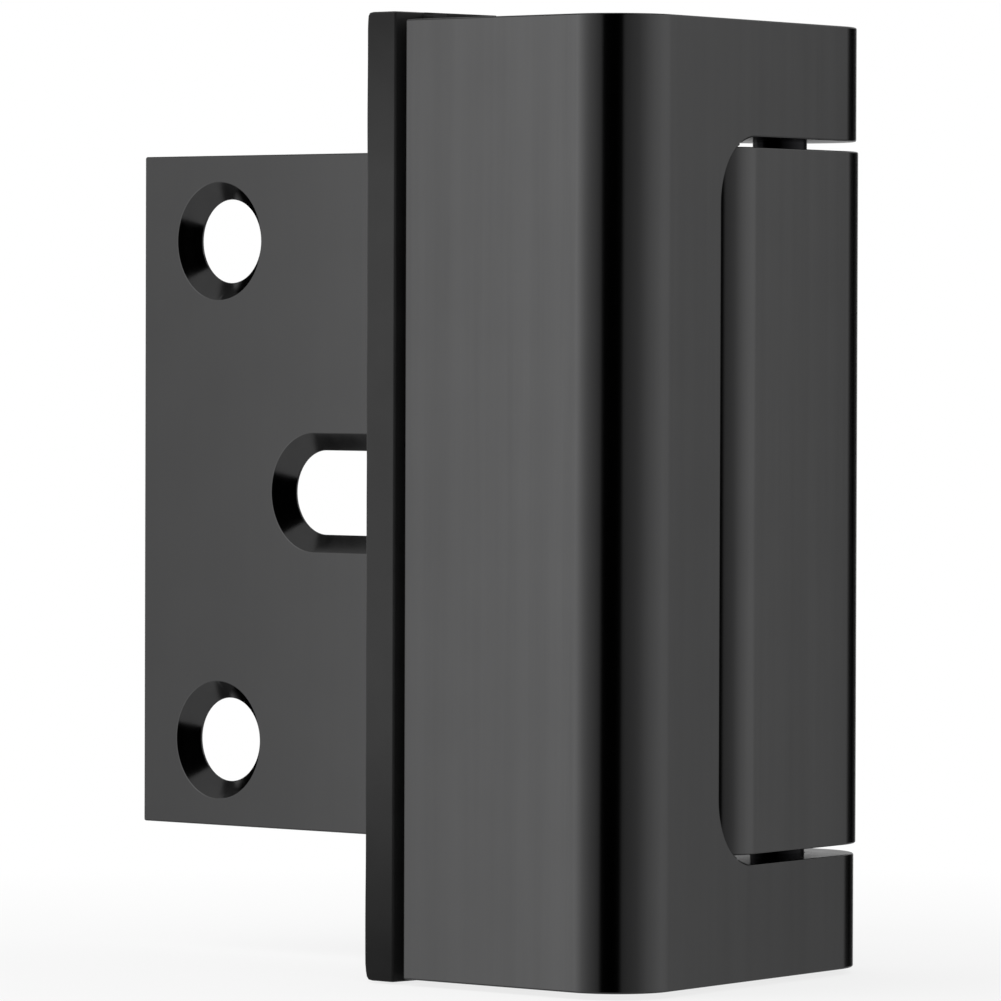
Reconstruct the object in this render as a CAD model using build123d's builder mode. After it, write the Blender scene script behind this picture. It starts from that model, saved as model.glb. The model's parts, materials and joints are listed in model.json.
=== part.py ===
"""Swing-over door security lock: a screwed-on leaf with a long knuckle, and a heavy
extruded stop that swings on a hidden pin from in front of the door to over the casing.

Frame: the origin is on the back face of the leaf, midway between its two round screw
holes.  +Z is up along the hinge pin, +X runs along the leaf towards the knuckle, and -Y
is the way the screw heads face.  Rest pose: locked, with the stop square to the leaf.
Lengths are in millimetres and angles in degrees.
"""

from math import cos, hypot, radians, sin, tan
import os

from build123d import *

# Leaf and knuckle extrusion
base_height = 56.1
leaf_thickness = 1.8
screw_to_leaf_edge = 9
leaf_edge_radius = 0.3
leaf_root_radius = 0.8
knuckle_corner_radius = 3.3
knuckle_end_radius = 6.2
knuckle_end_reach = 0.3

# Screw holes of the leaf: two round ones and a slot for setting the lock in or out
screw_spacing = 41.8
screw_hole_radius = 3.5
countersink_radius = 4.95
countersink_angle = 90
slot_offset = 11.2
slot_travel = 12

# Hinge pin, and where it stands from the screw holes and the back of the leaf
pin_from_screws = 47.7
pin_from_leaf_back = 14.9
pin_radius = 2.2
pin_end_recess = 0.4
pin_end_chamfer = 0.3
pin_seat_clearance = 0.02
pin_running_clearance = 0.05
pin_relief_clearance = 0.25

# Stop extrusion, whose outer face leans in towards the casing
stop_height = 76.2
stop_front_from_pin = 31.5
stop_width = 24.3
outer_face_lean = 11
stop_corner_radius = 4.9
stop_edge_radius = 0.2
ear_root_radius = 1.5
end_chamfer = 0.2

# Cut-out of the stop, in which the knuckle sits and turns
end_gap = 0.8
cutout_corner_radius = 5.4
knuckle_turning_clearance = 0.2
web_clearance = 0.3
corner_relief_gap = 0.3

# Bushes pressed into the two ends of the knuckle
bush_radius = 3.2
bush_length = 8
bush_seat_clearance = 0.02

# Friction plugs, each pressed into a groove of the pin by disc springs and a set screw
plug_height = 12
plug_bore_radius = 2.5
plug_clearance = 0.05
plug_nose_radius = 1
plug_nose_clearance = 0.1
plug_back_off = 0.4
pin_groove_depth = 0.35
screw_length = 4
screw_recess = 0.3
screw_socket_radius = 1.3
screw_socket_depth = 2
screw_chamfer = 0.4

# Disc springs, stacked cone to cone between each set screw and its plug
disc_count = 5
disc_radius = 2.4
disc_hole_radius = 1.25
disc_thickness = 0.4
disc_rise = 0.25
disc_gap = 0.02

# Bumper strip, slid into a T groove in the face of the stop that meets the door
bumper_height = 77.2
bumper_width = 9.5
bumper_thickness = 3.2
bumper_stand_off = 1.1
bumper_edge_radius = 0.3
groove_mouth_width = 3.4
groove_lip_thickness = 1.2
groove_width = 6
groove_depth = 1.6
bumper_fit_clearance = 0.1

# Worked out from the sizes above: the pin, and the faces of both extrusions
lean = radians(outer_face_lean)
pin_x = pin_from_screws
pin_y = pin_from_leaf_back
pin_centre = (pin_x, pin_y)
casing_face_x = pin_x - knuckle_end_radius
leaf_front_y = -leaf_thickness
leaf_edge_x = -screw_to_leaf_edge
stop_front_y = pin_y - stop_front_from_pin


def round_end(reach: float) -> list[tuple[float, float]]:
    """Start, tip and end of a round end that joins the outer face to the casing face.

    It stands out by the given reach past the round end that is centred on the pin.
    """
    shift = reach / (1 - sin(lean / 2))
    radius = knuckle_end_radius - shift * sin(lean / 2)
    centre_x = pin_x - shift * sin(lean / 2)
    centre_y = pin_y + shift * cos(lean / 2)
    return [
        (centre_x + radius * cos(lean), centre_y + radius * sin(lean)),
        (centre_x - radius * sin(lean / 2), centre_y + radius * cos(lean / 2)),
        (centre_x - radius, centre_y),
    ]


outer_tangent, stop_tip, inner_tangent = round_end(0)
knuckle_outer_tangent, knuckle_tip, knuckle_inner_tangent = round_end(knuckle_end_reach)
knuckle_corner = (outer_tangent[0] + (outer_tangent[1] - leaf_front_y) * tan(lean), leaf_front_y)
stop_corner = (outer_tangent[0] + (outer_tangent[1] - stop_front_y) * tan(lean), stop_front_y)
stop_door_x = stop_corner[0] - stop_width

# The web of the stop lies just outside the circle that the knuckle's corner turns in
corner_centre_y = leaf_front_y + knuckle_corner_radius
corner_centre_x = (
    outer_tangent[0]
    + (outer_tangent[1] - corner_centre_y) * tan(lean)
    - knuckle_corner_radius / cos(lean)
)
knuckle_reach = knuckle_corner_radius + hypot(corner_centre_x - pin_x, corner_centre_y - pin_y)
turning_radius = knuckle_reach + knuckle_turning_clearance
web_back_y = pin_y - knuckle_reach - web_clearance

cutout_height = base_height + 2 * end_gap
cutout_depth = 2 * (pin_y - web_back_y)
turning_height = base_height + 2 * corner_relief_gap
through_length = 2 * (stop_width + stop_front_from_pin)

# Screw holes, on the front of the leaf
leaf_front_plane = Plane(origin=(0, leaf_front_y, 0), x_dir=(1, 0, 0), z_dir=(0, -1, 0))
countersink_depth = (countersink_radius - screw_hole_radius) / tan(radians(countersink_angle / 2))
slot_centre_x = slot_offset + slot_travel / 2

# Pin, bushes and friction stack, from the pin outwards to the front of the knuckle
pin_length = stop_height - 2 * pin_end_recess
pin_groove_radius = pin_radius - pin_groove_depth
pin_groove_width = 2 * (plug_nose_radius + plug_nose_clearance)
plug_radius = plug_bore_radius - plug_clearance
plug_tip_y = pin_y - pin_groove_radius - pin_running_clearance
plug_front_y = pin_y - pin_radius - plug_back_off
screw_front_y = leaf_front_y + screw_recess
screw_back_y = screw_front_y + screw_length
disc_step = disc_thickness + disc_rise + disc_gap
plug_back_y = screw_back_y + disc_gap + disc_count * disc_step
plug_length = plug_front_y - plug_back_y
bore_axis = Axis((pin_x, pin_y, plug_height), (0, 1, 0))

# Bumper strip and its groove, from the face of the stop inwards and outwards
groove_centre_y = stop_front_y + bumper_width / 2
groove_floor_x = stop_door_x + groove_lip_thickness + groove_depth
bumper_back_x = stop_door_x - bumper_stand_off
bumper_face_x = bumper_back_x - bumper_thickness
rib_back_x = groove_floor_x - bumper_fit_clearance
rib_thickness = groove_depth - 2 * bumper_fit_clearance
rib_width = groove_width - 2 * bumper_fit_clearance
neck_length = rib_back_x - rib_thickness - bumper_back_x
neck_width = groove_mouth_width - 2 * bumper_fit_clearance


def sharp_ends(part: Part, height: float) -> ShapeList[Edge]:
    """Outline edges of the two flat ends of an extrusion, centred on the origin."""
    return part.faces().filter_by_position(Axis.Z, -height / 2, -height / 2).edges() + (
        part.faces().filter_by_position(Axis.Z, height / 2, height / 2).edges()
    )


def disc_spring(number: int) -> Part:
    """One conical disc of the upper stack, counted from the set screw.

    Odd discs have their hole nearer the set screw, even ones their rim.
    """
    inner_y = disc_rise * ((number + 1) % 2)
    outer_y = disc_rise - inner_y
    disc_y = screw_back_y + disc_gap + (number - 1) * disc_step
    with BuildPart() as disc:
        with BuildSketch(Plane(origin=(pin_x, disc_y, plug_height))):
            with BuildLine():
                Polyline(
                    (disc_hole_radius, inner_y),
                    (disc_radius, outer_y),
                    (disc_radius, outer_y + disc_thickness),
                    (disc_hole_radius, inner_y + disc_thickness),
                    close=True,
                )
            make_face()
        revolve(axis=bore_axis)
    return disc.part


# Leaf and knuckle: one extrusion, flat where it meets the jamb and the casing
with BuildPart() as hinge_leaf:
    with BuildSketch(Plane.XY.offset(-base_height / 2)) as leaf_profile:
        with BuildLine():
            Polyline(
                knuckle_inner_tangent,
                (casing_face_x, 0),
                (leaf_edge_x, 0),
                (leaf_edge_x, leaf_front_y),
                knuckle_corner,
                knuckle_outer_tangent,
            )
            ThreePointArc(knuckle_outer_tangent, knuckle_tip, knuckle_inner_tangent)
        make_face()
        fillet(leaf_profile.vertices().group_by(Axis.X)[0], leaf_edge_radius)
        fillet(leaf_profile.vertices().sort_by(Axis.X)[-1], knuckle_corner_radius)
        fillet(
            leaf_profile.vertices().sort_by_distance(Vector(casing_face_x, 0))[0],
            leaf_root_radius,
        )
    extrude(amount=base_height)
    chamfer(sharp_ends(hinge_leaf.part, base_height), end_chamfer)

    # Countersunk screw holes and the countersunk slot between them
    with Locations(leaf_front_plane):
        with GridLocations(1, screw_spacing, 1, 2):
            CounterSinkHole(
                screw_hole_radius,
                countersink_radius,
                depth=leaf_thickness,
                counter_sink_angle=countersink_angle,
            )
    with BuildSketch(leaf_front_plane):
        with Locations((slot_centre_x, 0)):
            SlotCenterToCenter(slot_travel, 2 * countersink_radius)
    extrude(amount=-countersink_depth, taper=countersink_angle / 2, mode=Mode.SUBTRACT)
    with BuildSketch(leaf_front_plane):
        with Locations((slot_centre_x, 0)):
            SlotCenterToCenter(slot_travel, 2 * screw_hole_radius)
    extrude(amount=-leaf_thickness, mode=Mode.SUBTRACT)

    # Pin bore, counterbored at both ends for the bushes
    with BuildSketch(Plane.XY.offset(-base_height / 2)):
        with Locations(pin_centre):
            Circle(pin_radius + pin_relief_clearance)
    extrude(amount=base_height, mode=Mode.SUBTRACT)
    for bush_end_plane in (
        Plane.XY.offset(-base_height / 2),
        Plane.XY.offset(base_height / 2 - bush_length),
    ):
        with BuildSketch(bush_end_plane):
            with Locations(pin_centre):
                Circle(bush_radius)
        extrude(amount=bush_length, mode=Mode.SUBTRACT)

    # Two bores from the hidden front of the knuckle to the pin, for the friction plugs
    with BuildSketch(leaf_front_plane):
        with Locations((pin_x, 0)):
            with GridLocations(1, 2 * plug_height, 1, 2):
                Circle(plug_bore_radius)
    extrude(amount=leaf_front_y - pin_y, mode=Mode.SUBTRACT)
hinge_leaf.part.label = "hinge_leaf"

# Stop: the full profile, cut away between two ears where the knuckle sits
with BuildPart() as stop_body:
    with BuildSketch(Plane.XY.offset(-stop_height / 2)) as stop_profile:
        with BuildLine():
            Polyline(
                inner_tangent,
                (casing_face_x, web_back_y),
                (stop_door_x, web_back_y),
                (stop_door_x, stop_front_y),
                stop_corner,
                outer_tangent,
            )
            ThreePointArc(outer_tangent, stop_tip, inner_tangent)
        make_face()
        fillet(stop_profile.vertices().group_by(Axis.X)[0], stop_edge_radius)
        fillet(stop_profile.vertices().sort_by(Axis.X)[-1], stop_corner_radius)
        fillet(
            stop_profile.vertices().sort_by_distance(Vector(casing_face_x, web_back_y))[0],
            ear_root_radius,
        )
    extrude(amount=stop_height)
    chamfer(sharp_ends(stop_body.part, stop_height), end_chamfer)

    # T groove for the bumper strip, open at both ends
    with BuildSketch(Plane.XY.offset(-stop_height / 2)):
        with Locations((stop_door_x, groove_centre_y)):
            Rectangle(2 * groove_lip_thickness + groove_depth, groove_mouth_width)
        with Locations((groove_floor_x, groove_centre_y)):
            Rectangle(groove_depth, groove_width, align=(Align.MAX, Align.CENTER))
    extrude(amount=stop_height, mode=Mode.SUBTRACT)

    # Cut-out with round corners, then the circle that the knuckle's corner turns in
    with BuildSketch(Plane.YZ):
        with Locations((web_back_y + cutout_depth / 2, 0)):
            RectangleRounded(cutout_depth, cutout_height, cutout_corner_radius)
    extrude(amount=through_length, both=True, mode=Mode.SUBTRACT)
    with BuildSketch(Plane.XY.offset(-turning_height / 2)):
        with Locations(pin_centre):
            Circle(turning_radius)
    extrude(amount=turning_height, mode=Mode.SUBTRACT)

    # Pin seats through both ears
    with BuildSketch(Plane.XY.offset(-stop_height / 2)):
        with Locations(pin_centre):
            Circle(pin_radius + pin_seat_clearance)
    extrude(amount=stop_height, mode=Mode.SUBTRACT)
stop_body.part.label = "stop_body"

# Hinge pin, fast in the ears, with a groove for each friction plug
with BuildPart() as hinge_pin:
    with BuildSketch(Plane.XY.offset(-pin_length / 2)):
        with Locations(pin_centre):
            Circle(pin_radius)
    extrude(amount=pin_length)
    chamfer(hinge_pin.edges().filter_by(GeomType.CIRCLE), pin_end_chamfer)
    for groove_height in (-plug_height, plug_height):
        with BuildSketch(Plane.XY.offset(groove_height - pin_groove_width / 2)):
            with Locations(pin_centre):
                Circle(2 * pin_radius)
                Circle(pin_groove_radius, mode=Mode.SUBTRACT)
        extrude(amount=pin_groove_width, mode=Mode.SUBTRACT)
hinge_pin.part.label = "hinge_pin"

# Plain bushes, flush with the ends of the knuckle
with BuildPart() as upper_bush:
    with BuildSketch(Plane.XY.offset(base_height / 2 - bush_length)):
        with Locations(pin_centre):
            Circle(bush_radius - bush_seat_clearance)
            Circle(pin_radius + pin_running_clearance, mode=Mode.SUBTRACT)
    extrude(amount=bush_length)
upper_bush.part.label = "upper_bush"

with BuildPart() as lower_bush:
    mirror(upper_bush.part, about=Plane.XY)
lower_bush.part.label = "lower_bush"

# Friction plug: a disc in the cross bore with a nose in the pin's groove
plug_back_plane = Plane(
    origin=(pin_x, plug_back_y, plug_height), x_dir=(1, 0, 0), z_dir=(0, 1, 0)
)
with BuildPart() as upper_friction_plug:
    with BuildSketch(plug_back_plane):
        Circle(plug_radius)
    extrude(amount=plug_length)
    with BuildSketch(plug_back_plane):
        Circle(plug_nose_radius)
    extrude(amount=plug_tip_y - plug_back_y)
upper_friction_plug.part.label = "upper_friction_plug"

with BuildPart() as lower_friction_plug:
    mirror(upper_friction_plug.part, about=Plane.XY)
lower_friction_plug.part.label = "lower_friction_plug"

# Socket set screw that loads the disc springs, sunk just below the face of the knuckle
screw_front_plane = Plane(
    origin=(pin_x, screw_front_y, plug_height), x_dir=(1, 0, 0), z_dir=(0, -1, 0)
)
with BuildPart() as upper_set_screw:
    with BuildSketch(screw_front_plane):
        Circle(plug_radius)
    extrude(amount=-screw_length)
    chamfer(upper_set_screw.edges().filter_by(GeomType.CIRCLE), screw_chamfer)
    with BuildSketch(screw_front_plane):
        RegularPolygon(screw_socket_radius, 6, major_radius=False)
    extrude(amount=-screw_socket_depth, mode=Mode.SUBTRACT)
upper_set_screw.part.label = "upper_set_screw"

with BuildPart() as lower_set_screw:
    mirror(upper_set_screw.part, about=Plane.XY)
lower_set_screw.part.label = "lower_set_screw"

# Disc springs, the lower stack a mirror image of the upper one
disc_springs = []
for number in range(1, disc_count + 1):
    upper_disc = disc_spring(number)
    upper_disc.label = f"upper_disc_spring_{number}"
    lower_disc = mirror(upper_disc, about=Plane.XY)
    lower_disc.label = f"lower_disc_spring_{number}"
    disc_springs += [upper_disc, lower_disc]

# Bumper strip: a flat head that meets the door, a neck, and a rib held in the T groove
with BuildPart() as bumper_strip:
    with BuildSketch(Plane.XY.offset(-bumper_height / 2)) as bumper_profile:
        with Locations((bumper_back_x, groove_centre_y)):
            Rectangle(bumper_thickness, bumper_width, align=(Align.MAX, Align.CENTER))
        fillet(bumper_profile.vertices(), bumper_edge_radius)
        with Locations((bumper_back_x, groove_centre_y)):
            Rectangle(neck_length, neck_width, align=(Align.MIN, Align.CENTER))
        with Locations((rib_back_x, groove_centre_y)):
            Rectangle(rib_thickness, rib_width, align=(Align.MAX, Align.CENTER))
    extrude(amount=bumper_height)
bumper_strip.part.label = "bumper_strip"

# Facts worth checking when a size is changed
print(f"knuckle corner turns at {knuckle_reach:.2f}, web stands at {pin_y - web_back_y:.2f}")
print(f"friction plug length {plug_length:.2f}, disc stack {disc_count * disc_step:.2f}")
print(f"stop corner at x {stop_corner[0]:.2f}, door side of the stop at x {stop_door_x:.2f}")

sub_parts = [
    hinge_leaf.part,
    stop_body.part,
    hinge_pin.part,
    upper_bush.part,
    lower_bush.part,
    upper_friction_plug.part,
    lower_friction_plug.part,
    upper_set_screw.part,
    lower_set_screw.part,
    bumper_strip.part,
    *disc_springs,
]
os.makedirs("parts", exist_ok=True)
for sub_part in sub_parts:
    export_step(sub_part, f"parts/{sub_part.label}.step")
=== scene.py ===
"""Looks of the swing-over door latch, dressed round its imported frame.

Lengths are in metres, in the part's own frame: +Z runs up the hinge pin, +X along the leaf
towards the knuckle, and -Y is the way that the screw heads face.  Angles are in radians
unless a name ends in degrees.
"""

import json
import logging
from collections.abc import Callable, Sequence
from dataclasses import dataclass, field, replace
from enum import Enum
from functools import cached_property, partial
from math import atan2, ceil, cos, pi, radians, sin, tan, tau

import bmesh
import bpy
from mathutils import Matrix, Vector


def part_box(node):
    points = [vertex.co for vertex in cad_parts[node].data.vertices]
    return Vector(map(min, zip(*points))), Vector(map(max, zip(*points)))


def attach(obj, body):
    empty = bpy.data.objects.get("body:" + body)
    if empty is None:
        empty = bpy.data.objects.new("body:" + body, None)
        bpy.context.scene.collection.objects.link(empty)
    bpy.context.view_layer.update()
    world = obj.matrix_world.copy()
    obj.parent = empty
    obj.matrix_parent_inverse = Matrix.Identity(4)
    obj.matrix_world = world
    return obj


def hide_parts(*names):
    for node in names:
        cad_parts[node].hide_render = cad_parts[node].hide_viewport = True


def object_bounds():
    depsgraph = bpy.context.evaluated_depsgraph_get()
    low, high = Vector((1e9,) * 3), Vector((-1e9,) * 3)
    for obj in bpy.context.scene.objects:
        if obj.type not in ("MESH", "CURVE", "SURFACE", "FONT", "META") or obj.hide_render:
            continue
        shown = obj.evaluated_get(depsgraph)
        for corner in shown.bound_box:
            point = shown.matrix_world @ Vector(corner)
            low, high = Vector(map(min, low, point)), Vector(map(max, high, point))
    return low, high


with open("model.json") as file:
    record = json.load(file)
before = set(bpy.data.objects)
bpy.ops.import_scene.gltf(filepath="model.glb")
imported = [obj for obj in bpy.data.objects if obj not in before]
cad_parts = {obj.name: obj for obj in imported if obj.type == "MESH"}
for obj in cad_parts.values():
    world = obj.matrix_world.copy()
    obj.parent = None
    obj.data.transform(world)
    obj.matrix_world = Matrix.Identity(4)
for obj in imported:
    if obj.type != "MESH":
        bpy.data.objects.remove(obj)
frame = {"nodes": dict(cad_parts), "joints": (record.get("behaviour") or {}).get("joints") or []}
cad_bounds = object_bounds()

ARC_STEP = radians(4)
FEWEST_ARC_STEPS = 2
CIRCLE_STEPS = round(tau / ARC_STEP)
FINE_CIRCLE_STEPS = 4 * CIRCLE_STEPS
SHARP_ANGLE = radians(32)
CREASE_ANGLE = radians(44)
FLUSH_ANGLE = radians(3)
EDGE_SEGMENTS = 3
FLAT_FACE_WEIGHT = 100
MERGE_DISTANCE = 1e-7
SAME_PLACE = 2e-6
SAME_NORMAL = 1e-3
OVERCUT = 0.001
Colour = tuple[float, float, float, float]
Section = tuple[list[Vector], float]
log = logging.getLogger("latch")


class Facing(Enum):
    """The way that the height of a loft runs, as a turn of its own axes into the frame."""

    UP = ((1, 0, 0), (0, 1, 0), (0, 0, 1))
    FRONT = ((1, 0, 0), (0, 0, -1), (0, 1, 0))
    SIDE = ((0, 0, 1), (1, 0, 0), (0, 1, 0))


class Side(Enum):
    """The end of the knuckle that a piece of hardware belongs to."""

    UPPER = 1
    LOWER = -1


@dataclass(frozen=True)
class Corner:
    """A corner of an outline, and the radius that rounds it."""

    x: float
    y: float
    radius: float = 0.0

    @property
    def point(self) -> Vector:
        """The corner as a flat vector."""
        return Vector((self.x, self.y))


def arc_points(centre: Vector, start: Vector, end: Vector) -> list[Vector]:
    """Points along an arc, the short way round.

    Args:
        centre: The middle of the arc.
        start: Its first point.
        end: Its last point.

    Returns:
        Points from start to end, close enough for the arc to look round.
    """
    spoke = start - centre
    last_spoke = end - centre
    turn = (atan2(last_spoke.y, last_spoke.x) - atan2(spoke.y, spoke.x) + pi) % tau - pi
    steps = max(FEWEST_ARC_STEPS, ceil(abs(turn) / ARC_STEP))
    return [centre + Matrix.Rotation(turn * i / steps, 2) @ spoke for i in range(steps + 1)]


def rounded_outline(corners: Sequence[Corner]) -> list[Vector]:
    """Closed outline of straight runs and round corners.

    Args:
        corners: The sharp corners in order, each with its radius.

    Returns:
        The points of the outline in the same order.
    """
    points: list[Vector] = []
    for before, corner, after in zip((corners[-1], *corners), corners, (*corners[1:], corners[0])):
        if not corner.radius:
            points.append(corner.point)
            continue
        back = (before.point - corner.point).normalized()
        ahead = (after.point - corner.point).normalized()
        half_angle = back.angle(ahead) / 2
        centre = corner.point + (back + ahead).normalized() * corner.radius / sin(half_angle)
        run = corner.radius / tan(half_angle)
        points += arc_points(centre, corner.point + back * run, corner.point + ahead * run)
    return points


def circle(
    radius: float, centre: Sequence[float] = (0, 0), steps: int = CIRCLE_STEPS
) -> list[Vector]:
    """Points of a full circle.

    Args:
        radius: Its radius.
        centre: Its middle in the plane of the outline.
        steps: How many points it has.

    Returns:
        Points all the way round.
    """
    spokes = (Vector((cos(tau * i / steps), sin(tau * i / steps))) for i in range(steps))
    return [Vector(centre[:2]) + spoke * radius for spoke in spokes]


def slot_outline(radius: float, start: float, travel: float) -> list[Vector]:
    """Outline of a slot with round ends that lies along x.

    Args:
        radius: Radius of both ends.
        start: Where the middle of the first end lies.
        travel: Distance between the middles of the ends.

    Returns:
        Points all the way round.
    """
    left, right = start - radius, start + travel + radius
    ends = ((left, -radius), (right, -radius), (right, radius), (left, radius))
    return rounded_outline([Corner(x, y, radius) for x, y in ends])


def new_piece(name: str, shape: bmesh.types.BMesh) -> bpy.types.Object:
    """Makes an object of a finished shape.

    Args:
        name: Name of the object and of its mesh.
        shape: The shape, which is freed.

    Returns:
        The new object, linked to the scene.
    """
    mesh = bpy.data.meshes.new(name)
    shape.to_mesh(mesh)
    shape.free()
    piece = bpy.data.objects.new(name, mesh)
    bpy.context.scene.collection.objects.link(piece)
    return piece


def loft(name: str, sections: Sequence[Section], facing: Facing = Facing.UP) -> bpy.types.Object:
    """Closed solid through outlines that have the same number of points.

    Args:
        name: Name of the new object.
        sections: Outlines with their heights, from one end to the other.
        facing: The way that the heights run.

    Returns:
        The new object, linked to the scene.
    """
    placing = Matrix(facing.value)
    shape = bmesh.new()
    rings = [
        [shape.verts.new(placing @ Vector((point.x, point.y, height))) for point in outline]
        for outline, height in sections
    ]
    for low, high in zip(rings, rings[1:]):
        for i in range(len(low)):
            shape.faces.new((low[i - 1], low[i], high[i], high[i - 1]))
    shape.faces.new(rings[0])
    shape.faces.new(rings[-1])
    bmesh.ops.remove_doubles(shape, verts=shape.verts, dist=MERGE_DISTANCE)
    bmesh.ops.recalc_face_normals(shape, faces=shape.faces)
    return new_piece(name, shape)


def turned_ring(
    name: str, profile: Sequence[tuple[float, float]], centre: Sequence[float], facing: Facing
) -> bpy.types.Object:
    """Ring made by turning a closed profile round an axis.

    Args:
        name: Name of the new object.
        profile: Corners of the profile, as distance from the axis and height.
        centre: Where the axis stands, in the plane across it.
        facing: The way that the axis runs.

    Returns:
        The new object, linked to the scene.
    """
    placing = Matrix(facing.value)
    shape = bmesh.new()
    spokes = []
    for i in range(CIRCLE_STEPS):
        along, across = cos(tau * i / CIRCLE_STEPS), sin(tau * i / CIRCLE_STEPS)
        corners = [(centre[0] + reach * along, centre[1] + reach * across, z) for reach, z in profile]
        spokes.append([shape.verts.new(placing @ Vector(corner)) for corner in corners])
    for i in range(CIRCLE_STEPS):
        here, there = spokes[i - 1], spokes[i]
        for j in range(len(profile)):
            shape.faces.new((here[j - 1], here[j], there[j], there[j - 1]))
    bmesh.ops.recalc_face_normals(shape, faces=shape.faces)
    return new_piece(name, shape)


def keep_modified_shape(piece: bpy.types.Object) -> None:
    """Makes the shape that the modifiers give the piece's own mesh.

    Args:
        piece: The object, which loses its modifiers.
    """
    graph = bpy.context.evaluated_depsgraph_get()
    shaped = bpy.data.meshes.new_from_object(piece.evaluated_get(graph))
    plain = piece.data
    piece.modifiers.clear()
    piece.data = shaped
    bpy.data.meshes.remove(plain)
    shaped.name = piece.name


def cut(piece: bpy.types.Object, cutters: Sequence[bpy.types.Object]) -> None:
    """Takes each cutter out of the piece, then deletes the cutters.

    Args:
        piece: The object that is cut.
        cutters: Closed objects that overlap it.
    """
    for cutter in cutters:
        taken_out = piece.modifiers.new(cutter.name, "BOOLEAN")
        taken_out.operation = "DIFFERENCE"
        taken_out.solver = "EXACT"
        taken_out.object = cutter
    keep_modified_shape(piece)
    for cutter in cutters:
        bpy.data.meshes.remove(cutter.data)


def break_edges(
    piece: bpy.types.Object, width: float, share: Callable[[Vector], float] = lambda middle: 1.0
) -> None:
    """Rounds the sharp edges of the piece.

    Args:
        piece: The object.
        width: Width of a broken edge.
        share: Gives the share of that width for an edge with a given middle point.
    """
    shape = bmesh.new()
    shape.from_mesh(piece.data)
    bmesh.ops.remove_doubles(shape, verts=shape.verts, dist=MERGE_DISTANCE)
    weight = shape.edges.layers.float.new("bevel_weight_edge")
    for edge in shape.edges:
        if len(edge.link_faces) == 2 and edge.calc_face_angle() > SHARP_ANGLE:
            edge[weight] = share((edge.verts[0].co + edge.verts[1].co) / 2)
    shape.to_mesh(piece.data)
    shape.free()
    bevel = piece.modifiers.new("broken_edges", "BEVEL")
    bevel.limit_method = "WEIGHT"
    bevel.width = width
    bevel.segments = EDGE_SEGMENTS
    bevel.use_clamp_overlap = False
    keep_modified_shape(piece)


def smooth(
    piece: bpy.types.Object, surface_of: Callable[[bmesh.types.BMFace], str | None] = lambda face: None
) -> None:
    """Shades the piece smooth between its creases, with flats that stay flat.

    Args:
        piece: The object.
        surface_of: Names the cut that a face belongs to, or gives None for a face that blends
            into every other.  Two cuts keep a crease where they meet, however slight.
    """
    piece.data.shade_smooth()
    piece.data.set_sharp_from_angle(angle=CREASE_ANGLE)
    shape = bmesh.new()
    shape.from_mesh(piece.data)
    for edge in shape.edges:
        if len(edge.link_faces) == 2 and edge.calc_face_angle() > FLUSH_ANGLE:
            surfaces = {surface_of(face) for face in edge.link_faces}
            if len(surfaces) == 2 and None not in surfaces:
                edge.smooth = False
    shape.to_mesh(piece.data)
    shape.free()
    normals = piece.modifiers.new("even_normals", "WEIGHTED_NORMAL")
    normals.keep_sharp = True
    normals.weight = FLAT_FACE_WEIGHT


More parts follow.
